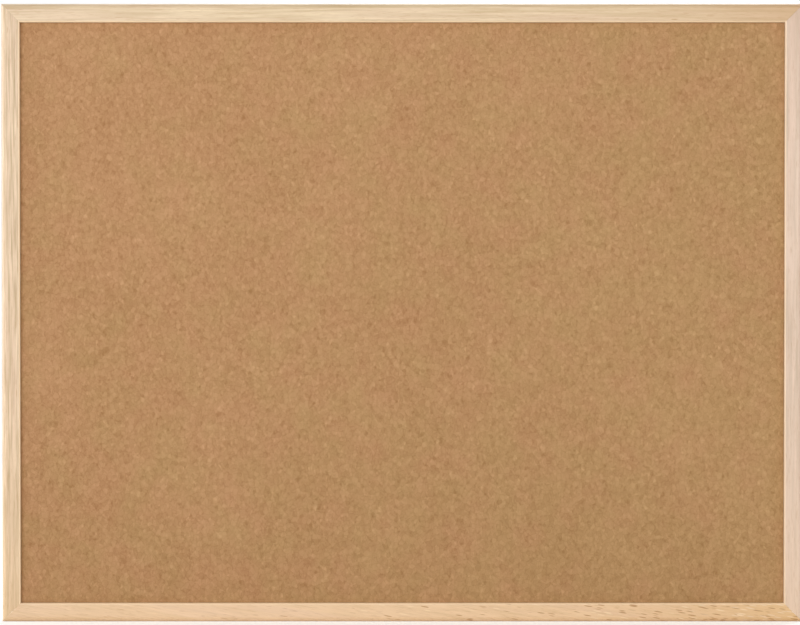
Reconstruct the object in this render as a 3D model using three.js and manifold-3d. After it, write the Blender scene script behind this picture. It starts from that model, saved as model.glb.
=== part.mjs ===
// Cork pin board: a cork face on a softboard core, held all round in the groove of a mitred wooden frame.
// Millimetres. +X is to the right and +Z is up as the board hangs. The cork faces -Y and the wall is on +Y.
// The origin is midway between the two wall nails, where the hangers' teeth rest on them, in the plane of
// the frame's back.

import * as THREE from "three";
import { mergeVertices } from "three/addons/utils/BufferGeometryUtils.js";
import Module from "manifold-3d";

// Board and frame moulding
const boardWidth = 450;
const boardHeight = 347;
const railWidth = 10.5;
const frontLip = 3;
const rearLip = 3;
const grooveDepth = 4;
const frontOuterRadius = 3;
const frontInnerRadius = 1;
const backOuterRadius = 0.5;
const mitreGap = 0.2;
const arcSegments = 6;

// Panel, glued up from three sheets
const corkThickness = 2;
const coreThickness = 6;
const backingThickness = 1;
const glueLine = 0.2;
const panelFaceClearance = 0.3;
const panelEdgeClearance = 0.5;

// Corner staples, driven from the back across each mitre
const staplesPerCorner = 2;
const stapleCrown = 9.3;
const stapleLeg = 10;
const stapleWireWidth = 0.8;
const stapleWireThickness = 0.55;
const stapleBendRadius = 0.5;
const stapleChisel = 0.8;
const stapleSink = 0.2;

// Sawtooth hangers, pressed from steel strip and nailed to the top rail
const hangerInset = 90;
const hangerLength = 40;
const hangerTabLength = 8;
const hangerTabHeight = 4.8;
const hangerPlateHeight = 6.5;
const hangerThickness = 0.8;
const hangerRise = 2;
const hangerJoggle = 2;
const hangerCornerRadius = 1.2;
const toothPitch = 2.5;
const toothDepth = 1.5;
const toothTip = 0.5;

// Hanger nails
const nailShankRadius = 0.6;
const nailLength = 11;
const nailPoint = 2;
const nailHeadRadius = 1.4;
const nailHeadThickness = 0.7;
const nailHeadDome = 0.25;
const nailSides = 16;

// Clearances between pieces of hardware and what they go through or lie on
const holeClearance = 0.3;
const seatGap = 0.1;
const cutOverrun = 1;

// Sizes that follow from the ones above
const panelThickness = corkThickness + glueLine + coreThickness + glueLine + backingThickness;
const grooveWidth = panelThickness + 2 * panelFaceClearance;
const frameDepth = frontLip + grooveWidth + rearLip;
const webThickness = railWidth - grooveDepth;
const panelInset = webThickness + panelEdgeClearance;
const panelWidth = boardWidth - 2 * panelInset;
const panelHeight = boardHeight - 2 * panelInset;
const hangerLine = boardHeight / 2 - webThickness / 2;
const hangerDrop = hangerPlateHeight - hangerTabHeight / 2;
const nailLine = hangerLine - hangerDrop + toothDepth;
const tabHole = hangerLength / 2 - hangerTabLength / 2;
const nailSeat = seatGap + hangerThickness + seatGap;

const woodFinish = { color: 0xe4c6a4, roughness: 0.55, metalness: 0 };
const corkFinish = { color: 0xb78d62, roughness: 0.9, metalness: 0 };
const softboardFinish = { color: 0xa08a6c, roughness: 0.95, metalness: 0 };
const cardFinish = { color: 0xae8c62, roughness: 0.85, metalness: 0 };
const steelFinish = { color: 0xb9bcbe, roughness: 0.4, metalness: 1 };

const wasm = await Module();
wasm.setup();

function toSolid(geometry) {
  const bare = geometry.clone();
  bare.deleteAttribute("normal");
  bare.deleteAttribute("uv");
  const merged = mergeVertices(bare);
  const vertProperties = merged.getAttribute("position").array;
  const triVerts = new Uint32Array(merged.index.array);
  return new wasm.Manifold(new wasm.Mesh({ numProp: 3, vertProperties, triVerts }));
}

function toGeometry(solid) {
  const mesh = solid.getMesh();
  const shared = new THREE.BufferGeometry();
  shared.setAttribute("position", new THREE.BufferAttribute(mesh.vertProperties, 3));
  shared.setIndex(new THREE.BufferAttribute(mesh.triVerts, 1));
  const geometry = shared.toNonIndexed();
  geometry.computeVertexNormals();
  return geometry;
}

function extrude(shape, depth) {
  return new THREE.ExtrudeGeometry(shape, { depth, bevelEnabled: false, curveSegments: arcSegments });
}

function addPiece(parent, name, geometry, finish) {
  const piece = new THREE.Mesh(geometry, new THREE.MeshStandardMaterial(finish));
  piece.name = name;
  parent.add(piece);
  return piece;
}

// Section of the moulding: x runs in from the outer edge, y from the back at 0 to the front face.
// The groove between the two lips holds the panel's edge.
function mouldingSection() {
  const front = -frameDepth;
  const section = new THREE.Shape();
  section.moveTo(backOuterRadius, 0);
  section.lineTo(railWidth, 0);
  section.lineTo(railWidth, -rearLip);
  section.lineTo(webThickness, -rearLip);
  section.lineTo(webThickness, front + frontLip);
  section.lineTo(railWidth, front + frontLip);
  section.lineTo(railWidth, front + frontInnerRadius);
  section.absarc(
    railWidth - frontInnerRadius, front + frontInnerRadius, frontInnerRadius, 0, -Math.PI / 2, true);
  section.lineTo(frontOuterRadius, front);
  section.absarc(
    frontOuterRadius, front + frontOuterRadius, frontOuterRadius, -Math.PI / 2, -Math.PI, true);
  section.lineTo(0, -backOuterRadius);
  section.absarc(backOuterRadius, -backOuterRadius, backOuterRadius, Math.PI, Math.PI / 2, true);
  return section;
}

// A length of moulding with both ends mitred, in its side's axes: X along the side, Y towards the wall and
// Z out from the board's middle. Reach is how far the outer edge is from the middle.
function mitredLength(length, reach) {
  const moulding = extrude(mouldingSection(), length);
  const points = moulding.getAttribute("position");
  for (let i = 0; i < points.count; i += 1) {
    const trim = points.getX(i) + mitreGap * Math.SQRT1_2;
    const atStart = points.getZ(i) < length / 2;
    points.setZ(i, atStart ? trim : length - trim);
  }
  return moulding.rotateY(Math.PI / 2).translate(-length / 2, 0, reach);
}

// A staple seen square on: the crown across the back and two legs with chisel points.
// Given a clearance it is the pocket that the staple takes up in the wood, open at the back.
function stapleSolid(clearance) {
  const halfSpan = stapleCrown / 2 + clearance;
  const legInside = stapleCrown / 2 - stapleWireThickness - clearance;
  const crownBack = clearance > 0 ? cutOverrun : -stapleSink;
  const crownFront = -stapleSink - stapleWireThickness - clearance;
  const legEnd = -stapleSink - stapleLeg - clearance;
  const bend = new THREE.Vector2(halfSpan - stapleBendRadius, crownBack - stapleBendRadius);
  const outline = new THREE.Shape();
  outline.moveTo(-halfSpan, legEnd);
  outline.lineTo(-legInside, legEnd + stapleChisel);
  outline.lineTo(-legInside, crownFront);
  outline.lineTo(legInside, crownFront);
  outline.lineTo(legInside, legEnd + stapleChisel);
  outline.lineTo(halfSpan, legEnd);
  outline.lineTo(halfSpan, bend.y);
  outline.absarc(bend.x, bend.y, stapleBendRadius, 0, Math.PI / 2, false);
  outline.lineTo(-bend.x, crownBack);
  outline.absarc(-bend.x, bend.y, stapleBendRadius, Math.PI / 2, Math.PI, false);
  const width = stapleWireWidth + 2 * clearance;
  return extrude(outline, width).translate(0, 0, -width / 2);
}

// How far in from the corner, along both sides, the middle of a staple lies.
// Its legs share out the solid web between the outer edge and the groove.
function stapleInset(index) {
  const legSpacing = stapleCrown - stapleWireThickness;
  const legInset = (webThickness * (index + 0.5)) / staplesPerCorner;
  return legInset + (legSpacing / 2) * Math.SQRT1_2;
}

// A moulding cut for the staples at both its ends and for the nails that enter it.
function frameMember(length, reach, nailPlaces) {
  let member = toSolid(mitredLength(length, reach));
  for (const end of [-1, 1]) {
    for (let i = 0; i < staplesPerCorner; i += 1) {
      const inset = stapleInset(i);
      const pocket = stapleSolid(holeClearance).rotateY((end * Math.PI) / 4);
      pocket.translate(end * (length / 2 - inset), 0, reach - inset);
      member = member.subtract(toSolid(pocket));
    }
  }
  const holeDepth = nailLength - nailSeat + holeClearance;
  for (const x of nailPlaces) {
    const hole = nailBore(holeDepth + cutOverrun).translate(x, (cutOverrun - holeDepth) / 2, hangerLine);
    member = member.subtract(toSolid(hole));
  }
  return toGeometry(member);
}

function nailBore(length) {
  const radius = nailShankRadius + holeClearance;
  return new THREE.CylinderGeometry(radius, radius, length, nailSides);
}

// The hanger strip seen from above: two tabs that lie on the rail and a bridge that stands off it.
// It is drawn too long and too high, because the face outline trims it.
function joggledStrip() {
  const tabInside = hangerLength / 2 - hangerTabLength;
  const bridgeEnd = tabInside - hangerJoggle;
  const end = hangerLength / 2 + cutOverrun;
  const top = seatGap + hangerThickness;
  const lean = hangerThickness * Math.tan(Math.atan2(hangerRise, hangerJoggle) / 2);
  const strip = new THREE.Shape();
  strip.moveTo(-end, seatGap);
  strip.lineTo(-tabInside, seatGap);
  strip.lineTo(-bridgeEnd, seatGap + hangerRise);
  strip.lineTo(bridgeEnd, seatGap + hangerRise);
  strip.lineTo(tabInside, seatGap);
  strip.lineTo(end, seatGap);
  strip.lineTo(end, top);
  strip.lineTo(tabInside + lean, top);
  strip.lineTo(bridgeEnd + lean, top + hangerRise);
  strip.lineTo(-bridgeEnd - lean, top + hangerRise);
  strip.lineTo(-tabInside - lean, top);
  strip.lineTo(-end, top);
  const height = hangerPlateHeight + 2 * cutOverrun;
  return extrude(strip, height).translate(0, 0, -hangerDrop - cutOverrun);
}

// The hanger's face outline, with its rounded tabs, their nail holes and the row of teeth along the
// lower edge.
function hangerFace() {
  const halfLength = hangerLength / 2;
  const tabTop = hangerTabHeight / 2;
  const plateEnd = halfLength - hangerTabLength;
  const teethRoom = 2 * (plateEnd - hangerJoggle);
  const teeth = Math.floor(teethRoom / toothPitch);
  const corner = new THREE.Vector2(halfLength - hangerCornerRadius, tabTop - hangerCornerRadius);
  const face = new THREE.Shape();
  face.moveTo(-corner.x, tabTop);
  face.absarc(-corner.x, corner.y, hangerCornerRadius, Math.PI / 2, Math.PI, false);
  face.absarc(-corner.x, -corner.y, hangerCornerRadius, Math.PI, 1.5 * Math.PI, false);
  face.lineTo(-plateEnd, -tabTop);
  face.lineTo(-plateEnd, -hangerDrop);
  for (let i = 0; i < teeth; i += 1) {
    const notch = (i - (teeth - 1) / 2) * toothPitch;
    const halfNotch = (toothPitch - toothTip) / 2;
    face.lineTo(notch - halfNotch, -hangerDrop);
    face.lineTo(notch, -hangerDrop + toothDepth);
    face.lineTo(notch + halfNotch, -hangerDrop);
  }
  face.lineTo(plateEnd, -hangerDrop);
  face.lineTo(plateEnd, -tabTop);
  face.lineTo(corner.x, -tabTop);
  face.absarc(corner.x, -corner.y, hangerCornerRadius, -Math.PI / 2, 0, false);
  face.absarc(corner.x, corner.y, hangerCornerRadius, 0, Math.PI / 2, false);
  for (const x of [-tabHole, tabHole]) {
    const hole = new THREE.Path();
    hole.absarc(x, 0, nailShankRadius + holeClearance, 0, 2 * Math.PI, true);
    face.holes.push(hole);
  }
  const depth = seatGap + hangerRise + hangerThickness + 2 * cutOverrun;
  return extrude(face, depth).rotateX(Math.PI / 2).translate(0, depth - cutOverrun, 0);
}

function sawtoothHanger() {
  return toGeometry(toSolid(joggledStrip()).intersect(toSolid(hangerFace())));
}

// A nail turned about Y, with its point towards the front and the underside of its head at 0.
function hangerNail() {
  const profile = [
    new THREE.Vector2(0, -nailLength),
    new THREE.Vector2(nailShankRadius, nailPoint - nailLength),
    new THREE.Vector2(nailShankRadius, 0),
    new THREE.Vector2(nailHeadRadius, 0),
    new THREE.Vector2(nailHeadRadius, nailHeadThickness - nailHeadDome),
    new THREE.Vector2(nailHeadRadius - nailHeadDome, nailHeadThickness),
    new THREE.Vector2(0, nailHeadThickness),
  ];
  return new THREE.LatheGeometry(profile, nailSides);
}

// The three sheets, stacked from the cork's face towards the wall. The cork's face is divided in three each
// way, so that its middle is a face of its own, clear of the frame's front lip.
function addPanel(board) {
  const sheets = [
    { name: "cork_sheet", thickness: corkThickness, finish: corkFinish },
    { name: "softboard_core", thickness: coreThickness, finish: softboardFinish },
    { name: "backing_card", thickness: backingThickness, finish: cardFinish },
  ];
  let front = frontLip + panelFaceClearance - frameDepth;
  for (const { name, thickness, finish } of sheets) {
    const sheet = new THREE.BoxGeometry(panelWidth, thickness, panelHeight, 3, 1, 3);
    addPiece(board, name, sheet, finish).position.y = front + thickness / 2;
    front += thickness + glueLine;
  }
}

// The sides in turn, clockwise as seen from the front. Each carries the staples of the corner where it
// starts.
function addFrame(board) {
  const hangerPlaces = [hangerInset - boardWidth / 2, boardWidth / 2 - hangerInset];
  const nailPlaces = hangerPlaces.flatMap((x) => [x - tabHole, x + tabHole]);
  const sides = [
    { name: "top_rail", corner: "top_left", length: boardWidth, nails: nailPlaces },
    { name: "right_stile", corner: "top_right", length: boardHeight, nails: [] },
    { name: "bottom_rail", corner: "bottom_right", length: boardWidth, nails: [] },
    { name: "left_stile", corner: "bottom_left", length: boardHeight, nails: [] },
  ];
  sides.forEach(({ name, corner, length, nails }, turn) => {
    const side = new THREE.Group();
    side.rotation.y = (turn * Math.PI) / 2;
    board.add(side);
    const reach = (boardWidth + boardHeight - length) / 2;
    addPiece(side, name, frameMember(length, reach, nails), woodFinish);
    for (let i = 0; i < staplesPerCorner; i += 1) {
      const staple = addPiece(side, `corner_staple_${corner}_${i + 1}`, stapleSolid(0), steelFinish);
      staple.position.set(stapleInset(i) - length / 2, 0, reach - stapleInset(i));
      staple.rotation.y = -Math.PI / 4;
    }
  });
}

function addHangers(board) {
  for (const [name, way] of [["left", -1], ["right", 1]]) {
    const hanger = new THREE.Group();
    hanger.position.set(way * (boardWidth / 2 - hangerInset), 0, hangerLine);
    board.add(hanger);
    addPiece(hanger, `hanger_${name}`, sawtoothHanger(), steelFinish);
    for (const [place, x] of [["outer", way * tabHole], ["inner", -way * tabHole]]) {
      const nail = addPiece(hanger, `hanger_nail_${name}_${place}`, hangerNail(), steelFinish);
      nail.position.set(x, nailSeat, 0);
    }
  }
}

const pinBoard = new THREE.Group();
const board = new THREE.Group();
board.position.z = -nailLine;
pinBoard.add(board);
addPanel(board);
addFrame(board);
addHangers(board);

export default pinBoard;
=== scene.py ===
"""Looks of a cork pin board in a slim mitred frame of pale oak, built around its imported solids.
Metres, +Z up. The cork faces -Y and the wall is on +Y."""

import math

import bmesh
import bpy
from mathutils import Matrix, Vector


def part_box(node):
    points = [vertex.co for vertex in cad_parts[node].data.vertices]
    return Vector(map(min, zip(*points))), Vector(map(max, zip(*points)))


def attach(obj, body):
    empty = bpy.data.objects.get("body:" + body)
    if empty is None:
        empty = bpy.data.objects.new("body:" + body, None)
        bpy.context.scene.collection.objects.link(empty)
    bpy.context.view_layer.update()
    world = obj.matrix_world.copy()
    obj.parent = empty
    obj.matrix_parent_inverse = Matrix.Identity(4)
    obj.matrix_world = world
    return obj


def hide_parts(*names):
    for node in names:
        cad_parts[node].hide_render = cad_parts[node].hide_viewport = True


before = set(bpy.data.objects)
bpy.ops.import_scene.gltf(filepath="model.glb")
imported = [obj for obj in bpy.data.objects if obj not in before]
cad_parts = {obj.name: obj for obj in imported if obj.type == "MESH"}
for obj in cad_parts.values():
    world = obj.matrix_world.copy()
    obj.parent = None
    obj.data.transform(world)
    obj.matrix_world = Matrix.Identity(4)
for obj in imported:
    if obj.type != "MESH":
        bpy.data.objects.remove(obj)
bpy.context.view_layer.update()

MM = 0.001
ROOT = "root"

# Places of the pieces, as the frame gives them
LEFT_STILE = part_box("left_stile")
RIGHT_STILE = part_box("right_stile")
TOP_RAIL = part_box("top_rail")
BOTTOM_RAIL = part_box("bottom_rail")
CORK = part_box("cork_sheet")
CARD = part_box("backing_card")
BOARD_LOW = Vector((LEFT_STILE[0].x, TOP_RAIL[0].y, BOTTOM_RAIL[0].z))
BOARD_HIGH = Vector((RIGHT_STILE[1].x, TOP_RAIL[1].y, TOP_RAIL[1].z))
BOARD_MIDDLE = (BOARD_LOW + BOARD_HIGH) / 2
BOARD_SIZE = BOARD_HIGH - BOARD_LOW

# Frame moulding
RAIL_WIDTH = TOP_RAIL[1].z - TOP_RAIL[0].z
PANEL_FACE_CLEARANCE = 0.3 * MM
PANEL_EDGE_CLEARANCE = 0.5 * MM
GROOVE_FRONT = CORK[0].y - PANEL_FACE_CLEARANCE
GROOVE_BACK = CARD[1].y + PANEL_FACE_CLEARANCE
WEB = CORK[0].x - BOARD_LOW.x - PANEL_EDGE_CLEARANCE
FRONT_OUTER_RADIUS = 3 * MM
FRONT_INNER_RADIUS = 1 * MM
BACK_OUTER_RADIUS = 0.5 * MM
BACK_INNER_RADIUS = 0.3 * MM
MITRE_HAIRLINE = 0.05 * MM

# Hardware. Each corner's staples lie across its mitre, turned by so many degrees
STAPLE_CORNERS = {"top_left": -45, "top_right": 45, "bottom_right": -45, "bottom_left": 45}
STAPLE_CROWN = 9.3 * MM
STAPLE_WIRE_WIDTH = 0.8 * MM
STAPLE_WIRE_THICKNESS = 0.55 * MM
STAPLE_CHISEL = 0.8 * MM
NAIL_SHANK_RADIUS = 0.6 * MM
NAIL_HEAD_THICKNESS = 0.7 * MM
NAIL_POINT = 2 * MM
NAIL_SIDES = 24
HANGER_STRIP = 0.8 * MM
HANGER_TAB_LENGTH = 8 * MM
HANGER_TAB_HEIGHT = 4.8 * MM
HANGER_JOGGLE = 2 * MM
HANGER_CORNER_RADIUS = 1.2 * MM
HANGER_CORNER_STEPS = 6
TOOTH_PITCH = 2.5 * MM
TOOTH_DEPTH = 1.5 * MM
TOOTH_TIP = 0.5 * MM
PUNCH_LENGTH = 3.2 * MM
STEEL_ARRIS = 0.1 * MM
DRIVEN_CLEARANCE = 0.05 * MM
CUT_OVERRUN = 1 * MM

# Sheets: the size of a grid cell and the relief of the outer face
CORK_CELL = 1.3 * MM
CORK_GRANULE = 2.4 * MM
CORK_RELIEF = 0.1 * MM
CARD_CELL = 6 * MM
CARD_WAVE = 60 * MM
CARD_RELIEF = 0.2 * MM

# Telling places and directions apart: how close counts as the same place, how much of a normal along an axis
# counts as facing that way, the turn under which two faces are one flat face and the turn at which an edge
# stays sharp
SAME_PLACE = 0.01 * MM
FACING = 0.9
FLAT_ANGLE = math.radians(1)
SMOOTH_ANGLE = math.radians(35)

# Pattern sizes of the finishes in mm, for oak along and across its grain. Oak's pores and ray flecks are
# drawn about twice as wide as real ones, and the card's fibres far wider, because real ones are too fine to
# show
OAK_WANDER = 80
OAK_SWAY = 2
OAK_BAND = (110, 5)
OAK_VESSEL = (6, 0.3)
OAK_FLECK = (6.5, 0.8)
CORK_COARSE = 2.3
CORK_FINE = 1.25
CORK_SPECKS = (3.0, 1.9)
CORK_CRUMPLE = 3
CORK_CRUMPLE_SHIFT = 2
CORK_TALLNESS = 1.35
CORK_PIT = 0.5
CORK_PATCH = 18
CORK_CLOUD = 70
CARD_FIBRE = (3.5, 3.5, 0.8)
CARD_CLOUD = 30
SOFTBOARD_FIBRE = 2
ZINC_CLOUD = 2.5

# Colours that the four oak members share
PINK_OAK = "#e9c6b0"
# A dark brown, mixed in towards each member's near end
NEAR_END_DARK_OAK = "#8a6a48"
OAK_VESSEL_BROWN = "#b98a58"
OAK_PORE_BROWN = "#b3804a"
OAK_RAY_CREAM = "#f9dcb6"
# A pale cream, painted as a highlight along the inner front arris
ARRIS_HIGHLIGHT_OAK = "#ffe3bd"

# The picture: its size, its scale at the frame's front and where it shows the board's middle, in pixels
PICTURE_WIDTH = 800
PICTURE_HEIGHT = 625
PIXELS_PER_MM = 1.782
BOARD_MIDDLE_X = 402.3
BOARD_MIDDLE_Y = 313.2
CAMERA_DISTANCE = 2.2
CAMERA_RISE = math.radians(1.3)
SENSOR_MM = 36

# Lamps: each one's place from the board's middle and its side, in metres, and its power in watts
LAMPS = {
    "key_from_left": ((-1.1, -2.4, 0.08), 1.6, 36),
    "edge_light_left": ((-1.7, 0.1, 0.05), 1.0, 17),
    "fill_from_right": ((1.0, -2.4, 0.1), 1.6, 11.5),
    "light_behind": ((0.5, 1.5, 1.4), 1.6, 28),
}
AMBIENT_STRENGTH = 0.5
WHITE_STRENGTH = 1.0

# The floor: its side, its glow to the eye and the distances from the board's foot between which it fades to
# white
FLOOR_SIZE = 8.0
FLOOR_GLOW = 0.36
FADE_START = 0.5
FADE_END = 1.6


# Bench work: what every piece is made with

def take_up(piece):
    """Makes the piece the only one that is selected."""
    bpy.ops.object.select_all(action="DESELECT")
    piece.select_set(True)
    bpy.context.view_layer.objects.active = piece


def edit(piece):
    take_up(piece)
    bpy.ops.object.mode_set(mode="EDIT")


def end_edit(face_outwards=False):
    if face_outwards:
        bpy.ops.mesh.select_all(action="SELECT")
        bpy.ops.mesh.normals_make_consistent(inside=False)
    bpy.ops.object.mode_set(mode="OBJECT")


def pick(piece, kind, wanted):
    """In edit mode, selects only the corners, edges or faces that are wanted."""
    bpy.ops.mesh.select_mode(type=kind)
    bpy.ops.mesh.select_all(action="DESELECT")
    mesh = bmesh.from_edit_mesh(piece.data)
    for part in {"VERT": mesh.verts, "EDGE": mesh.edges, "FACE": mesh.faces}[kind]:
        part.select_set(wanted(part))
    mesh.select_flush_mode()
    bmesh.update_edit_mesh(piece.data)


def middle(edge):
    return (edge.verts[0].co + edge.verts[1].co) / 2


def near(a, b):
    return abs(a - b) < SAME_PLACE


def score(point, normal, **cut):
    """Cuts all of the piece in edit mode along a plane, and with clear_outer drops what lies beyond it."""
    bpy.ops.mesh.select_all(action="SELECT")
    bpy.ops.mesh.bisect(plane_co=point, plane_no=normal, **cut)


def pull(travel):
    bpy.ops.mesh.extrude_region_move(TRANSFORM_OT_translate={"value": travel})


def plane_flat():
    """Takes the lines out of the flat faces of the piece in edit mode."""
    bpy.ops.mesh.select_all(action="SELECT")
    bpy.ops.mesh.dissolve_limited(angle_limit=FLAT_ANGLE)


def apply_place(piece):
    take_up(piece)
    bpy.ops.object.transform_apply(location=True, rotation=True, scale=True)


def bar(name, low, high):
    """A block between two corners, to be shaped further."""
    bpy.ops.object.select_all(action="DESELECT")
    bpy.ops.mesh.primitive_cube_add(size=1, location=(low + high) / 2)
    piece = bpy.context.object
    piece.name = name
    piece.scale = high - low
    apply_place(piece)
    return piece


def rod(name, radius, start, end, x=0.0):
    """A round bar along Y, to be shaped further or to cut with."""
    bpy.ops.object.select_all(action="DESELECT")
    bpy.ops.mesh.primitive_cylinder_add(
        vertices=NAIL_SIDES, radius=radius, depth=end - start,
        location=(x, (start + end) / 2, 0), rotation=(math.pi / 2, 0, 0))
    piece = bpy.context.object
    piece.name = name
    apply_place(piece)
    return piece


def finish_with(piece, kind, **settings):
    """Adds a modifier and applies it."""
    take_up(piece)
    bpy.ops.object.modifier_add(type=kind)
    modifier = piece.modifiers[-1]
    for name, value in settings.items():
        setattr(modifier, name, value)
    bpy.ops.object.modifier_apply(modifier=modifier.name)


def cut_away(piece, cutter):
    finish_with(piece, "BOOLEAN", object=cutter, operation="DIFFERENCE", solver="EXACT")


def smooth(piece):
    """Rounds read as round and flat faces stay flat."""
    take_up(piece)
    bpy.ops.object.shade_smooth_by_angle(angle=SMOOTH_ANGLE)
    finish_with(piece, "WEIGHTED_NORMAL", keep_sharp=True)


def break_edges(piece):
    """Takes the sharpness off pressed or drawn steel."""
    finish_with(piece, "BEVEL", width=STEEL_ARRIS, segments=2, limit_method="ANGLE", angle_limit=SMOOTH_ANGLE)
    smooth(piece)


def placed_copy(source, name, location, turn=0.0):
    piece = source.copy()
    piece.data = source.data.copy()
    piece.name = name
    bpy.context.scene.collection.objects.link(piece)
    piece.location = location
    piece.rotation_euler = (0, turn, 0)
    apply_place(piece)
    return piece


def joined(pieces):
    bpy.ops.object.select_all(action="DESELECT")
    for piece in pieces:
        piece.select_set(True)
    bpy.context.view_layer.objects.active = pieces[0]
    bpy.ops.object.join()
    return pieces[0]


def put_away(*pieces):
    for piece in pieces:
        bpy.data.objects.remove(piece)


def dress(piece, node, material):
    """The piece stands for its CAD node, in that node's finish."""
    piece.data.materials.clear()
    piece.data.materials.append(material)
    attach(piece, ROOT)
    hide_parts(node)


# Frame: each member is a bar with two lips pulled out of it, its arrises eased and its ends cut to a mitre

def frame_member(node, turn, cutters):
    """Shapes the member as a top rail about the board's middle and then brings it round by quarter turns."""
    length = BOARD_SIZE.z if turn % 2 else BOARD_SIZE.x
    reach = (BOARD_SIZE.x + BOARD_SIZE.z - length) / 2
    sight = reach - RAIL_WIDTH
    low = Vector((-length / 2, BOARD_LOW.y, reach - WEB))
    piece = bar("oak_" + node, low, Vector((length / 2, BOARD_HIGH.y, reach)))
    edit(piece)
    for y in (GROOVE_FRONT, GROOVE_BACK):
        score((0, y, 0), (0, 1, 0))
    pick(piece, "FACE", lambda face: face.normal.z < -FACING
         and not GROOVE_FRONT < face.calc_center_median().y < GROOVE_BACK)
    pull((0, 0, sight - low.z))
    plane_flat()
    ease_arrises(piece, reach, sight)
    mitre_ends(length, reach)
    end_edit(face_outwards=True)
    piece.location = (BOARD_MIDDLE.x, 0, BOARD_MIDDLE.z)
    piece.rotation_euler = (0, turn * math.pi / 2, 0)
    apply_place(piece)
    cut_away(piece, cutters)
    smooth(piece)
    return piece


def ease_arrises(piece, reach, sight):
    """Rounds the four long edges, each given by its place, its radius and the steps of its round."""
    front, back = BOARD_LOW.y, BOARD_HIGH.y
    arrises = (
        (front, reach, FRONT_OUTER_RADIUS, 8),
        (front, sight, FRONT_INNER_RADIUS, 6),
        (back, reach, BACK_OUTER_RADIUS, 4),
        (back, sight, BACK_INNER_RADIUS, 3),
    )
    for y, z, radius, steps in arrises:
        pick(piece, "EDGE", lambda edge: near(middle(edge).y, y) and near(middle(edge).z, z))
        bpy.ops.mesh.bevel(offset=radius, segments=steps, affect="EDGES")


def mitre_ends(length, reach):
    for end in (-1, 1):
        outwards = Vector((end, 0, -1)).normalized()
        corner = Vector((end * length / 2, 0, reach))
        score(corner - outwards * MITRE_HAIRLINE / 2, outwards, use_fill=True, clear_outer=True)


# Staples: a crown with two legs pulled out of it. A grown one is the pocket that it drives into the wood

def staple_blank(name, grow, back):
    low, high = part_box("corner_staple_top_left_1")
    half = STAPLE_CROWN / 2 + grow
    half_width = STAPLE_WIRE_WIDTH / 2 + grow
    inside = half - STAPLE_WIRE_THICKNESS - 2 * grow
    under = high.y - STAPLE_WIRE_THICKNESS - grow
    tip = low.y - grow
    piece = bar(name, Vector((-half, under, -half_width)), Vector((half, back, half_width)))
    edit(piece)
    for x in (-inside, inside):
        score((x, 0, 0), (1, 0, 0))
    pick(piece, "FACE", lambda face: face.normal.y < -FACING and abs(face.calc_center_median().x) > inside)
    pull((0, tip - under, 0))
    pick(piece, "EDGE", lambda edge: near(middle(edge).y, tip) and near(abs(middle(edge).x), inside))
    bpy.ops.transform.translate(value=(0, STAPLE_CHISEL, 0))
    end_edit()
    return piece


# Nails: a shank, with a head swelled from one end and a point drawn from the other. A grown one has no head
# and is the bore that the nail drives into the wood

def nail_blank(name, grow):
    low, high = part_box("hanger_nail_left_outer")
    seat = high.y - NAIL_HEAD_THICKNESS
    shank_radius = NAIL_SHANK_RADIUS + grow
    swell = (high.x - low.x) / 2 / shank_radius
    piece = rod(name, shank_radius, low.y + NAIL_POINT, seat)
    edit(piece)
    pick(piece, "FACE", lambda face: face.normal.y < -FACING)
    pull((0, -NAIL_POINT - grow, 0))
    bpy.ops.mesh.merge(type="CENTER")
    if not grow:
        pick(piece, "FACE", lambda face: face.normal.y > FACING)
        pull((0, 0, 0))
        bpy.ops.transform.resize(value=(swell, 1, swell), center_override=(0, seat, 0))
        pull((0, NAIL_HEAD_THICKNESS, 0))
    end_edit(face_outwards=True)
    return piece


# Sawtooth hangers: a strip scored across, joggled, toothed along its lower edge and then given its thickness

def hanger_blank(name):
    low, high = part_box("hanger_left")
    half = (high.x - low.x) / 2
    tab_inside = half - HANGER_TAB_LENGTH
    tab_hole = half - HANGER_TAB_LENGTH / 2
    bridge_end = tab_inside - HANGER_JOGGLE
    tab_low = -HANGER_TAB_HEIGHT / 2
    plate_low = HANGER_TAB_HEIGHT / 2 - (high.z - low.z)
    rise = high.y - low.y - HANGER_STRIP
    bpy.ops.object.select_all(action="DESELECT")
    bpy.ops.mesh.primitive_plane_add(size=1, rotation=(math.pi / 2, 0, 0))
    piece = bpy.context.object
    piece.name = name
    piece.scale = (2 * half, HANGER_TAB_HEIGHT, 1)
    apply_place(piece)
    edit(piece)
    for x in (-tab_inside, -bridge_end, bridge_end, tab_inside):
        score((x, 0, 0), (1, 0, 0))
    pick(piece, "EDGE", lambda edge: near(middle(edge).z, tab_low) and abs(middle(edge).x) < tab_inside)
    pull((0, 0, plate_low - tab_low))
    cut_teeth(piece, bridge_end, plate_low)
    pick(piece, "VERT", lambda corner: near(abs(corner.co.x), half))
    bpy.ops.mesh.bevel(offset=HANGER_CORNER_RADIUS, segments=HANGER_CORNER_STEPS, affect="VERTICES")
    pick(piece, "VERT", lambda corner: abs(corner.co.x) < bridge_end + SAME_PLACE)
    bpy.ops.transform.translate(value=(0, rise, 0))
    end_edit()
    finish_with(piece, "SOLIDIFY", thickness=HANGER_STRIP, offset=-1, use_even_offset=True)
    for x in (-tab_hole, tab_hole):
        punch_hole(piece, x)
    break_edges(piece)
    return piece


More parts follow.
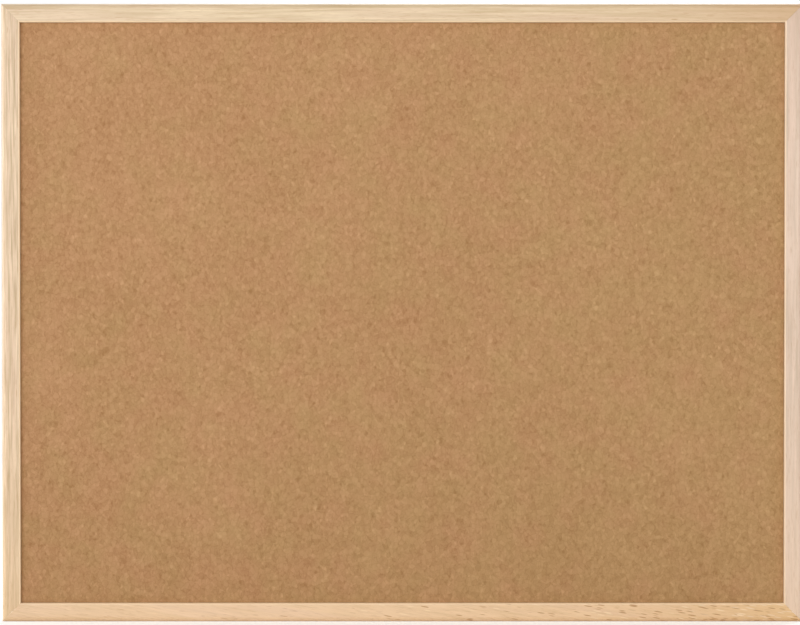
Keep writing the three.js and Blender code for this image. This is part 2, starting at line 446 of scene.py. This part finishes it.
def cut_teeth(piece, bridge_end, plate_low):
    """Divides the bridge's lower edge and lifts the root of each notch."""
    teeth = math.floor((2 * bridge_end + SAME_PLACE) / TOOTH_PITCH)
    pick(piece, "EDGE", lambda edge: near(middle(edge).z, plate_low) and abs(middle(edge).x) < bridge_end)
    bpy.ops.mesh.subdivide(number_cuts=3 * teeth)
    mesh = bmesh.from_edit_mesh(piece.data)
    low_edge = [corner for corner in mesh.verts if near(corner.co.z, plate_low)]
    inside = [corner for corner in low_edge if abs(corner.co.x) < bridge_end - SAME_PLACE]
    inside.sort(key=lambda corner: corner.co.x)
    half_notch = (TOOTH_PITCH - TOOTH_TIP) / 2
    notch_shape = ((-half_notch, 0), (0, TOOTH_DEPTH), (half_notch, 0))
    for i in range(teeth):
        notch = (i - (teeth - 1) / 2) * TOOTH_PITCH
        for corner, (x, lift) in zip(inside[3 * i:3 * i + 3], notch_shape):
            corner.co.x = notch + x
            corner.co.z = plate_low + lift
    bmesh.update_edit_mesh(piece.data)


def punch_hole(piece, x):
    punch = rod("punch", NAIL_SHANK_RADIUS + DRIVEN_CLEARANCE, -PUNCH_LENGTH / 2, PUNCH_LENGTH / 2, x)
    cut_away(piece, punch)
    put_away(punch)


# Sheets: a fine grid for the outer face, with a thickness pulled from its rim and real relief on the face

def pressed_sheet(name, low, high, facing, cell, texture, relief):
    width, thickness, height = high - low
    bpy.ops.object.select_all(action="DESELECT")
    bpy.ops.mesh.primitive_grid_add(
        x_subdivisions=round(width / cell), y_subdivisions=round(height / cell), size=1,
        location=((low.x + high.x) / 2, low.y if facing < 0 else high.y, (low.z + high.z) / 2),
        rotation=(-facing * math.pi / 2, 0, 0))
    piece = bpy.context.object
    piece.name = name
    piece.scale = (width, height, 1)
    apply_place(piece)
    face = piece.vertex_groups.new(name="face")
    face.add(range(len(piece.data.vertices)), 1.0, "REPLACE")
    edit(piece)
    bpy.ops.mesh.select_all(action="SELECT")
    bpy.ops.mesh.region_to_loop()
    pull((0, -facing * thickness, 0))
    bpy.ops.object.vertex_group_remove_from(use_all_groups=True)
    bpy.ops.mesh.edge_face_add()
    end_edit(face_outwards=True)
    finish_with(piece, "DISPLACE", texture=texture, strength=relief, mid_level=0.5, direction="Y",
                texture_coords="LOCAL", vertex_group="face")
    bpy.ops.object.shade_smooth_by_angle(angle=SMOOTH_ANGLE)
    return piece


# Materials

def linear(code):
    """A colour written as sRGB hex, as the linear colour that the shaders take."""
    shares = [int(code[i:i + 2], 16) / 255 for i in (1, 3, 5)]
    return [s / 12.92 if s <= 0.04045 else ((s + 0.055) / 1.055) ** 2.4 for s in shares] + [1.0]


def add_node(tree, kind, inputs=None, **settings):
    """Adds a shader node. An input is a value, or a socket that is linked to it."""
    node = tree.nodes.new("ShaderNode" + kind)
    for name, value in settings.items():
        setattr(node, name, value)
    for name, value in (inputs or {}).items():
        if isinstance(value, bpy.types.NodeSocket):
            tree.links.new(value, node.inputs[name])
        else:
            node.inputs[name].default_value = value
    return node


def new_material(name):
    material = bpy.data.materials.new(name)
    material.use_nodes = True
    tree = material.node_tree
    tree.nodes.clear()
    place = add_node(tree, "TexCoord").outputs["Object"]
    return material, tree, place


def close_material(tree, **inputs):
    sockets = {name.replace("_", " "): value for name, value in inputs.items()}
    shader = add_node(tree, "BsdfPrincipled", sockets)
    add_node(tree, "OutputMaterial", {"Surface": shader.outputs["BSDF"]})


def per_mm(*sizes):
    """Scale for a pattern whose features are this many millimetres in size, all round or along each axis."""
    scales = tuple(1 / (size * MM) for size in sizes)
    return scales if len(scales) > 1 else scales[0]


def oak(name, along_z, seed, light, dark, far, streak, slope, pores, rays, arris_highlight):
    """Planed oak under satin oil: tan and cream streaks along the grain, which warm towards the member's
    far end, right or low, with open pores as short dark dashes and ray flecks as pale ones. The wood is
    darker towards its near end, and the inner arris carries a painted highlight in pale cream. Streak is
    the length and width of a streak in mm, and slope the grain's lean to the member in degrees. Pores and
    rays give the share of each at the near end and at the far end, and the last argument how much of the
    inner arris's colour is the painted highlight."""
    material, tree, place = new_material(name)
    upright, level = ("Z", BOARD_HIGH.z, BOARD_LOW.z), ("X", BOARD_LOW.x, BOARD_HIGH.x)
    axis, near_end, far_end = upright if along_z else level
    spots = add_node(tree, "SeparateXYZ", {"Vector": place}).outputs
    way = add_node(tree, "MapRange", {
        "Value": spots[axis], "From Min": near_end, "From Max": far_end}).outputs[0]
    # Farness stays low over most of the way and rises steeply at the far end
    farness = add_node(tree, "Math", {0: way, 1: 4.5}, operation="POWER").outputs[0]
    lie = grain_lie(tree, place, slope)

    def grain(length, width):
        """Coordinates in which a feature of this length and width in mm is one unit each way."""
        scale = per_mm(width, width, length) if along_z else per_mm(length, width, width)
        spot = (seed * 7.3, seed * 3.1, seed * 5.7)
        return add_node(tree, "Mapping", {"Vector": lie, "Scale": scale, "Location": spot}).outputs[0]

    lines = grain_lines(tree, grain, *streak)
    colour = streaked(tree, grain, lines, light, dark)
    colour = toned_along_member(tree, colour, way, farness, far)
    colour = flecked(tree, grain, colour, farness, pores, rays)
    # The inner front arris is painted with a highlight: its colour is mixed towards pale cream
    arris = add_node(tree, "MapRange", {
        "Value": inner_slant(tree, place), "From Min": 0.01, "From Max": 0.06, "To Max": arris_highlight}).outputs[0]
    highlighted_colour = add_node(tree, "Mix", {0: arris, 6: colour, 7: linear(ARRIS_HIGHLIGHT_OAK)}, data_type="RGBA").outputs[2]
    bump = add_node(tree, "Bump", {"Height": lines, "Strength": 0.25, "Distance": 0.1 * MM})
    gloss = add_node(tree, "MapRange", {"Value": lines, "To Min": 0.32, "To Max": 0.44}).outputs[0]
    close_material(tree, Base_Color=highlighted_colour, Roughness=gloss, IOR=1.5, Normal=bump.outputs[0])
    return material


def grain_lie(tree, place, slope):
    """The place as the grain runs: swaying a little, and leaning by the slope."""
    wander = add_node(tree, "TexNoise", {
        "Vector": place, "Scale": per_mm(OAK_WANDER), "Detail": 1}).outputs["Color"]
    sway = add_node(tree, "VectorMath", {0: wander, "Scale": OAK_SWAY * MM}, operation="SCALE").outputs[0]
    swayed = add_node(tree, "VectorMath", {0: place, 1: sway}, operation="ADD").outputs[0]
    return add_node(tree, "VectorRotate", {
        "Vector": swayed, "Angle": math.radians(-slope)}, rotation_type="Y_AXIS").outputs[0]


def grain_lines(tree, grain, length, width):
    """Streaks of the given size with finer hairlines among them."""
    broad = add_node(tree, "TexNoise", {
        "Vector": grain(length, width), "Scale": 1, "Detail": 1}).outputs[0]
    hair = add_node(tree, "TexNoise", {
        "Vector": grain(length, width / 2), "Scale": 1, "Detail": 5, "Roughness": 0.6}).outputs[0]
    return add_node(tree, "Mix", {0: 0.5, 2: broad, 3: hair}).outputs[0]


def streaked(tree, grain, lines, light, dark):
    """The colour of the streaks, with a pinkish band here and there."""
    tone = add_node(tree, "MapRange", {"Value": lines, "From Min": 0.32, "From Max": 0.68}).outputs[0]
    wood = add_node(tree, "Mix", {0: tone, 6: linear(dark), 7: linear(light)}, data_type="RGBA").outputs[2]
    band = add_node(tree, "TexNoise", {"Vector": grain(*OAK_BAND), "Scale": 1, "Detail": 2}).outputs[0]
    share = add_node(tree, "MapRange", {
        "Value": band, "From Min": 0.45, "From Max": 0.7, "To Max": 0.3}).outputs[0]
    return add_node(tree, "Mix", {0: share, 6: wood, 7: linear(PINK_OAK)}, data_type="RGBA").outputs[2]


def toned_along_member(tree, colour, way, farness, far):
    """The wood warmed towards the member's far end, and darker towards its near end."""
    warmth = add_node(tree, "Math", {0: farness, 1: 0.65}, operation="MULTIPLY").outputs[0]
    warmed = add_node(tree, "Mix", {0: warmth, 6: colour, 7: linear(far)}, data_type="RGBA").outputs[2]
    # The colour is darkened towards the member's near end
    near_end_darkening = add_node(tree, "MapRange", {
        "Value": way, "From Min": 0.2, "From Max": 0, "To Max": 0.12}).outputs[0]
    return add_node(tree, "Mix", {
        0: near_end_darkening, 6: warmed, 7: linear(NEAR_END_DARK_OAK)}, data_type="RGBA").outputs[2]


def flecked(tree, grain, colour, farness, pores, rays):
    """Fine vessel lines all over, and dashes in a share of long cells: dark pores, and pale rays on top."""
    vessels = add_node(tree, "TexNoise", {"Vector": grain(*OAK_VESSEL), "Scale": 1, "Detail": 1}).outputs[0]
    vessel_share = add_node(tree, "MapRange", {
        "Value": vessels, "From Min": 0.6, "From Max": 0.68, "To Max": 0.3}).outputs[0]
    colour = add_node(tree, "Mix", {
        0: vessel_share, 6: colour, 7: linear(OAK_VESSEL_BROWN)}, data_type="RGBA").outputs[2]
    cells = add_node(tree, "TexVoronoi", {"Vector": grain(*OAK_FLECK), "Scale": 1})
    chances = add_node(tree, "SeparateColor", {"Color": cells.outputs["Color"]}).outputs
    dash = add_node(tree, "MapRange", {
        "Value": cells.outputs["Distance"], "From Min": 0.43, "From Max": 0.3}).outputs[0]
    kinds = ((pores, chances[0], OAK_PORE_BROWN), (rays, chances[1], OAK_RAY_CREAM))
    for (near_share, far_share), chance, tint in kinds:
        share = add_node(tree, "MapRange", {
            "Value": farness, "To Min": near_share, "To Max": far_share}).outputs[0]
        luck = add_node(tree, "Math", {0: chance, 1: share}, operation="ADD").outputs[0]
        chosen = add_node(tree, "MapRange", {
            "Value": luck, "From Min": 1.0, "From Max": 1.05, "To Max": 0.8}).outputs[0]
        shown = add_node(tree, "Math", {0: chosen, 1: dash}, operation="MULTIPLY").outputs[0]
        colour = add_node(tree, "Mix", {0: shown, 6: colour, 7: linear(tint)}, data_type="RGBA").outputs[2]
    return colour


def inner_slant(tree, place):
    """Above 0 only where a face looks forwards and to the board's middle, as the inner front arris does."""
    facing = add_node(tree, "NewGeometry").outputs["Normal"]
    inwards = add_node(tree, "VectorMath", {0: BOARD_MIDDLE, 1: place}, operation="SUBTRACT").outputs[0]
    level = add_node(tree, "VectorMath", {0: inwards, 1: (1, 0, 1)}, operation="MULTIPLY").outputs[0]
    inner = add_node(tree, "VectorMath", {0: level, 1: facing}, operation="DOT_PRODUCT").outputs["Value"]
    forward = add_node(tree, "SeparateXYZ", {"Vector": facing}).outputs["Y"]
    frontal = add_node(tree, "Math", {0: forward, 1: -0.2}, operation="MULTIPLY").outputs[0]
    return add_node(tree, "Math", {0: inner, 1: frontal}, operation="MINIMUM").outputs[0]


def agglomerated_cork():
    """Cork ground to fine granules, pressed with binder and sliced: every granule has its own tan, some are
    dark bark or pale heartcork, and the cut cells leave a dead matt face with a faint pebbling."""
    material, tree, place = new_material("agglomerated_cork")
    tone = cork_tone(tree, place)
    ruddy = add_node(tree, "Mix", {
        0: tone, 6: linear("#a4764c"), 7: linear("#c99c72")}, data_type="RGBA").outputs[2]
    olive = add_node(tree, "Mix", {
        0: tone, 6: linear("#a0794b"), 7: linear("#c59e6f")}, data_type="RGBA").outputs[2]
    patch = add_node(tree, "TexNoise", {
        "Vector": place, "Scale": per_mm(CORK_PATCH), "Detail": 3}).outputs[0]
    # The cork drifts from ruddy at the upper left to olive at the lower right: partly its own tone, partly
    # painted shade for the lamps' light falling off away from the left
    tone_and_falloff_drift = add_node(tree, "VectorMath", {
        0: place, 1: (0.6, 0, -0.5)}, operation="DOT_PRODUCT").outputs["Value"]
    drifted = add_node(tree, "Math", {0: tone_and_falloff_drift, 1: patch}, operation="ADD").outputs[0]
    patch_share = add_node(tree, "MapRange", {
        "Value": drifted, "From Min": 0.38, "From Max": 0.78}).outputs[0]
    cork = add_node(tree, "Mix", {0: patch_share, 6: ruddy, 7: olive}, data_type="RGBA").outputs[2]
    bump = add_node(tree, "Bump", {"Height": tone, "Strength": 0.3, "Distance": 0.12 * MM})
    close_material(tree, Base_Color=cork, Roughness=0.92, IOR=1.4, Normal=bump.outputs[0])
    return material


def cork_tone(tree, place):
    """How pale the cork is: granules of two sizes, rare dark and pale specks, dark binder between the coarse
    granules, fine pits, and broad clouds over all of it."""
    crumple = add_node(tree, "TexNoise", {
        "Vector": place, "Scale": per_mm(CORK_CRUMPLE), "Detail": 2}).outputs["Color"]
    shift = add_node(tree, "VectorMath", {
        0: crumple, "Scale": CORK_CRUMPLE_SHIFT * MM}, operation="SCALE").outputs[0]
    crumpled = add_node(tree, "VectorMath", {0: place, 1: shift}, operation="ADD").outputs[0]

    def granules(width, feature="F1"):
        scale = per_mm(width, width, CORK_TALLNESS * width)
        sliced = add_node(tree, "Mapping", {"Vector": crumpled, "Scale": scale}).outputs[0]
        return add_node(tree, "TexVoronoi", {"Vector": sliced, "Scale": 1}, feature=feature).outputs

    tone = 0.145
    for width, share in ((CORK_COARSE, 0.28), (CORK_FINE, 0.24)):
        chance = add_node(tree, "SeparateColor", {"Color": granules(width)["Color"]}).outputs[0]
        tone = add_node(tree, "Math", {0: chance, 1: share, 2: tone}, operation="MULTIPLY_ADD").outputs[0]
    for width in CORK_SPECKS:
        specks = granules(width)
        spot = add_node(tree, "MapRange", {
            "Value": specks["Distance"], "From Min": 0.5, "From Max": 0.15}).outputs[0]
        chance = add_node(tree, "SeparateColor", {"Color": specks["Color"]}).outputs[1]
        way = add_node(tree, "Math", {0: chance, 1: 2.0, 2: -1.0}, operation="MULTIPLY_ADD").outputs[0]
        rare = add_node(tree, "Math", {0: way, 1: 3.0}, operation="POWER").outputs[0]
        speck = add_node(tree, "Math", {0: rare, 1: spot}, operation="MULTIPLY").outputs[0]
        tone = add_node(tree, "Math", {0: speck, 1: 0.3, 2: tone}, operation="MULTIPLY_ADD").outputs[0]
    edge = granules(CORK_COARSE, "DISTANCE_TO_EDGE")["Distance"]
    binder = add_node(tree, "MapRange", {
        "Value": edge, "From Max": 0.08, "To Min": -0.25, "To Max": 0}).outputs[0]
    pits = add_node(tree, "TexNoise", {
        "Vector": place, "Scale": per_mm(CORK_PIT), "Detail": 4, "Roughness": 0.7}).outputs[0]
    pitted = add_node(tree, "Math", {0: pits, 1: 0.25, 2: binder}, operation="MULTIPLY_ADD").outputs[0]
    tone = add_node(tree, "Math", {0: tone, 1: pitted}, operation="ADD").outputs[0]
    cloud = add_node(tree, "TexNoise", {
        "Vector": place, "Scale": per_mm(CORK_CLOUD), "Detail": 2}).outputs[0]
    centred = add_node(tree, "Math", {0: cloud, 1: 0.5}, operation="SUBTRACT").outputs[0]
    return add_node(tree, "Math", {0: centred, 1: 0.25, 2: tone}, operation="MULTIPLY_ADD").outputs[0]


def kraft_card():
    """Calendered brown card: long pulp fibres, a slightly cloudy tone and a dry surface."""
    material, tree, place = new_material("kraft_card")
    across = add_node(tree, "Mapping", {"Vector": place, "Scale": per_mm(*CARD_FIBRE)}).outputs[0]
    fibre = add_node(tree, "TexNoise", {
        "Vector": across, "Scale": 1, "Detail": 6, "Roughness": 0.75}).outputs[0]
    cloud = add_node(tree, "TexNoise", {
        "Vector": place, "Scale": per_mm(CARD_CLOUD), "Detail": 3}).outputs[0]
    tone = add_node(tree, "Mix", {0: 0.4, 2: fibre, 3: cloud}).outputs[0]
    spread = add_node(tree, "MapRange", {"Value": tone, "From Min": 0.3, "From Max": 0.7}).outputs[0]
    brown = add_node(tree, "Mix", {
        0: spread, 6: linear("#a08059"), 7: linear("#b59469")}, data_type="RGBA").outputs[2]
    bump = add_node(tree, "Bump", {"Height": fibre, "Strength": 0.2, "Distance": 0.1 * MM})
    close_material(tree, Base_Color=brown, Roughness=0.85, IOR=1.45, Normal=bump.outputs[0])
    return material


def softboard():
    """Pressed wood fibre: coarse, matted and matt."""
    material, tree, place = new_material("softboard")
    fibre = add_node(tree, "TexNoise", {
        "Vector": place, "Scale": per_mm(SOFTBOARD_FIBRE), "Detail": 6}).outputs[0]
    brown = add_node(tree, "Mix", {
        0: fibre, 6: linear("#8d7454"), 7: linear("#b89d78")}, data_type="RGBA").outputs[2]
    bump = add_node(tree, "Bump", {"Height": fibre, "Strength": 0.5, "Distance": 0.2 * MM})
    close_material(tree, Base_Color=brown, Roughness=0.95, Normal=bump.outputs[0])
    return material


def zinc_plated_steel():
    """Bright zinc over cold-rolled strip: a soft grey shine, clouded where the plating has dulled."""
    material, tree, place = new_material("zinc_plated_steel")
    cloud = add_node(tree, "TexNoise", {
        "Vector": place, "Scale": per_mm(ZINC_CLOUD), "Detail": 4}).outputs[0]
    grey = add_node(tree, "Mix", {
        0: cloud, 6: linear("#8e9396"), 7: linear("#b9bcbe")}, data_type="RGBA").outputs[2]
    gloss = add_node(tree, "MapRange", {"Value": cloud, "To Min": 0.24, "To Max": 0.46}).outputs[0]
    close_material(tree, Base_Color=grey, Metallic=1.0, Roughness=gloss)
    return material


# Pieces of the board

def driven_spot(node):
    """Where a staple or a nail is driven, in the plane of the frame's back."""
    low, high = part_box(node)
    return ((low.x + high.x) / 2, 0, (low.z + high.z) / 2)


def make_staples(steel):
    """Models one staple and copies it to its places. Returns the pockets that the copies drive."""
    crown_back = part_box("corner_staple_top_left_1")[1].y
    staple = staple_blank("staple", 0, crown_back)
    break_edges(staple)
    pocket = staple_blank("pocket", DRIVEN_CLEARANCE, CUT_OVERRUN)
    pockets = []
    for corner, degrees in STAPLE_CORNERS.items():
        turn = math.radians(degrees)
        for i in (1, 2):
            node = f"corner_staple_{corner}_{i}"
            spot = driven_spot(node)
            dress(placed_copy(staple, f"staple_{corner}_{i}", spot, turn), node, steel)
            pockets.append(placed_copy(pocket, f"pocket_{corner}_{i}", spot, turn))
    put_away(staple, pocket)
    return pockets


def make_hangers(steel):
    """Models one hanger and one nail and copies them to their places. Returns the bores that nails drive."""
    nail = nail_blank("nail", 0)
    break_edges(nail)
    bore = nail_blank("bore", DRIVEN_CLEARANCE)
    hanger = hanger_blank("hanger")
    bores = []
    for side in ("left", "right"):
        low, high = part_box("hanger_" + side)
        spot = ((low.x + high.x) / 2, low.y, high.z - HANGER_TAB_HEIGHT / 2)
        dress(placed_copy(hanger, "sawtooth_hanger_" + side, spot), "hanger_" + side, steel)
        for end in ("outer", "inner"):
            node = f"hanger_nail_{side}_{end}"
            spot = driven_spot(node)
            dress(placed_copy(nail, f"nail_{side}_{end}", spot), node, steel)
            bores.append(placed_copy(bore, f"bore_{side}_{end}", spot))
    put_away(nail, bore, hanger)
    return bores


def make_frame(cutters):
    """Each member is cut from another place in the oak, so its tones and its grain are its own."""
    # The last value of each member is how much of its inner arris's colour is a painted highlight
    cuts = {
        "top_rail": {
            "light": "#eed7b4", "dark": "#ccb189", "far": "#c4996a", "streak": (40, 1.5), "slope": 0,
            "pores": (0.02, 0.05), "rays": (0, 0), "arris_highlight": 0.6},
        "right_stile": {
            "light": "#e9ceb9", "dark": "#cdb49c", "far": "#eacdb0", "streak": (35, 2.2), "slope": 0,
            "pores": (0, 0.03), "rays": (0, 0), "arris_highlight": 0.55},
        "bottom_rail": {
            "light": "#f6d4ad", "dark": "#e6c49a", "far": "#e2b678", "streak": (18, 1.5), "slope": 9,
            "pores": (0.03, 0.98), "rays": (0.04, 0.5), "arris_highlight": 0.6},
        "left_stile": {
            "light": "#f2d7b7", "dark": "#b69870", "far": "#ddbb8c", "streak": (25, 1.1), "slope": 0,
            "pores": (0.03, 0.1), "rays": (0.02, 0.05), "arris_highlight": 0.95},
    }
    for turn, (node, cut) in enumerate(cuts.items()):
        member = frame_member(node, turn, cutters)
        wood = oak("oiled_oak_" + node, bool(turn % 2), turn + 1, **cut)
        dress(member, node, wood)


def make_panel():
    pebbling = bpy.data.textures.new("cork_pebbling", "VORONOI")
    pebbling.noise_scale = CORK_GRANULE
    cork = pressed_sheet("cork_face", *CORK, -1, CORK_CELL, pebbling, CORK_RELIEF)
    dress(cork, "cork_sheet", agglomerated_cork())
    waves = bpy.data.textures.new("card_waves", "CLOUDS")
    waves.noise_scale = CARD_WAVE
    card = pressed_sheet("card_back", *CARD, 1, CARD_CELL, waves, CARD_RELIEF)
    dress(card, "backing_card", kraft_card())
    # The core lies hidden between the two sheets, so its solid stays and takes only a finish
    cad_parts["softboard_core"].material_slots[0].material = softboard()


def make_board():
    steel = zinc_plated_steel()
    cutters = joined(make_staples(steel) + make_hangers(steel))
    make_frame(cutters)
    put_away(cutters)
    make_panel()


# Studio: a camera square on to the board, soft light from the left, a pale floor and white all round

def make_camera():
    data = bpy.data.cameras.new("camera")
    data.sensor_width = SENSOR_MM
    data.lens = SENSOR_MM * CAMERA_DISTANCE / MM * PIXELS_PER_MM / PICTURE_WIDTH
    camera = bpy.data.objects.new("camera", data)
    bpy.context.scene.collection.objects.link(camera)
    aside = (PICTURE_WIDTH / 2 - BOARD_MIDDLE_X) / PIXELS_PER_MM * MM
    above = (BOARD_MIDDLE_Y - PICTURE_HEIGHT / 2) / PIXELS_PER_MM * MM
    aim = Vector((BOARD_MIDDLE.x + aside, BOARD_LOW.y, BOARD_MIDDLE.z + above))
    camera.location = aim + CAMERA_DISTANCE * Vector((0, -math.cos(CAMERA_RISE), math.sin(CAMERA_RISE)))
    camera.rotation_euler = (math.pi / 2 - CAMERA_RISE, 0, 0)
    bpy.context.scene.camera = camera


def make_lamps():
    """Square soft lamps, each aimed at the board's middle."""
    for name, (place, side, power) in LAMPS.items():
        data = bpy.data.lights.new(name, "AREA")
        data.size = side
        data.energy = power
        lamp = bpy.data.objects.new(name, data)
        bpy.context.scene.collection.objects.link(lamp)
        lamp.location = BOARD_MIDDLE + Vector(place)
        lamp.rotation_euler = (-Vector(place)).to_track_quat("-Z", "Y").to_euler()


def shown_to_eye(tree):
    """1 where the background is looked at, straight, in a reflection or through something clear, else 0."""
    rays = add_node(tree, "LightPath").outputs
    shown = rays["Is Camera Ray"]
    for kind in ("Is Glossy Ray", "Is Transmission Ray"):
        shown = add_node(tree, "Math", {0: shown, 1: rays[kind]}, operation="MAXIMUM").outputs[0]
    return shown


def make_world():
    world = bpy.data.worlds.new("studio")
    bpy.context.scene.world = world
    world.use_nodes = True
    tree = world.node_tree
    tree.nodes.clear()
    ambient = add_node(tree, "Background", {
        "Color": linear("#ffffff"), "Strength": AMBIENT_STRENGTH}).outputs[0]
    white = add_node(tree, "Background", {
        "Color": linear("#ffffff"), "Strength": WHITE_STRENGTH}).outputs[0]
    mixed = add_node(tree, "MixShader", {0: shown_to_eye(tree), 1: ambient, 2: white}).outputs[0]
    add_node(tree, "OutputWorld", {"Surface": mixed})


def make_floor():
    """A pale floor that takes the board's shadow near its foot and fades into the white further off."""
    bpy.ops.object.select_all(action="DESELECT")
    bpy.ops.mesh.primitive_plane_add(
        size=FLOOR_SIZE, location=(BOARD_MIDDLE.x, BOARD_MIDDLE.y, BOARD_LOW.z))
    floor = bpy.context.object
    floor.name = "floor"
    material, tree, place = new_material("pale_floor")
    paint = add_node(tree, "BsdfDiffuse", {"Color": linear("#f4f4f2")}).outputs[0]
    glow = add_node(tree, "Emission", {"Color": linear("#ffffff"), "Strength": FLOOR_GLOW}).outputs[0]
    white = add_node(tree, "Emission", {"Color": linear("#ffffff"), "Strength": WHITE_STRENGTH}).outputs[0]
    lit = add_node(tree, "AddShader", {0: paint, 1: glow}).outputs[0]
    distance = add_node(tree, "VectorMath", {0: place}, operation="LENGTH").outputs["Value"]
    far = add_node(tree, "MapRange", {
        "Value": distance, "From Min": FADE_START, "From Max": FADE_END}).outputs[0]
    faded = add_node(tree, "MixShader", {0: far, 1: lit, 2: white}).outputs[0]
    mixed = add_node(tree, "MixShader", {0: shown_to_eye(tree), 1: paint, 2: faded}).outputs[0]
    add_node(tree, "OutputMaterial", {"Surface": mixed})
    floor.data.materials.append(material)


make_camera()
make_world()
make_floor()
make_lamps()
bpy.context.scene.view_settings.view_transform = "Standard"
make_board()
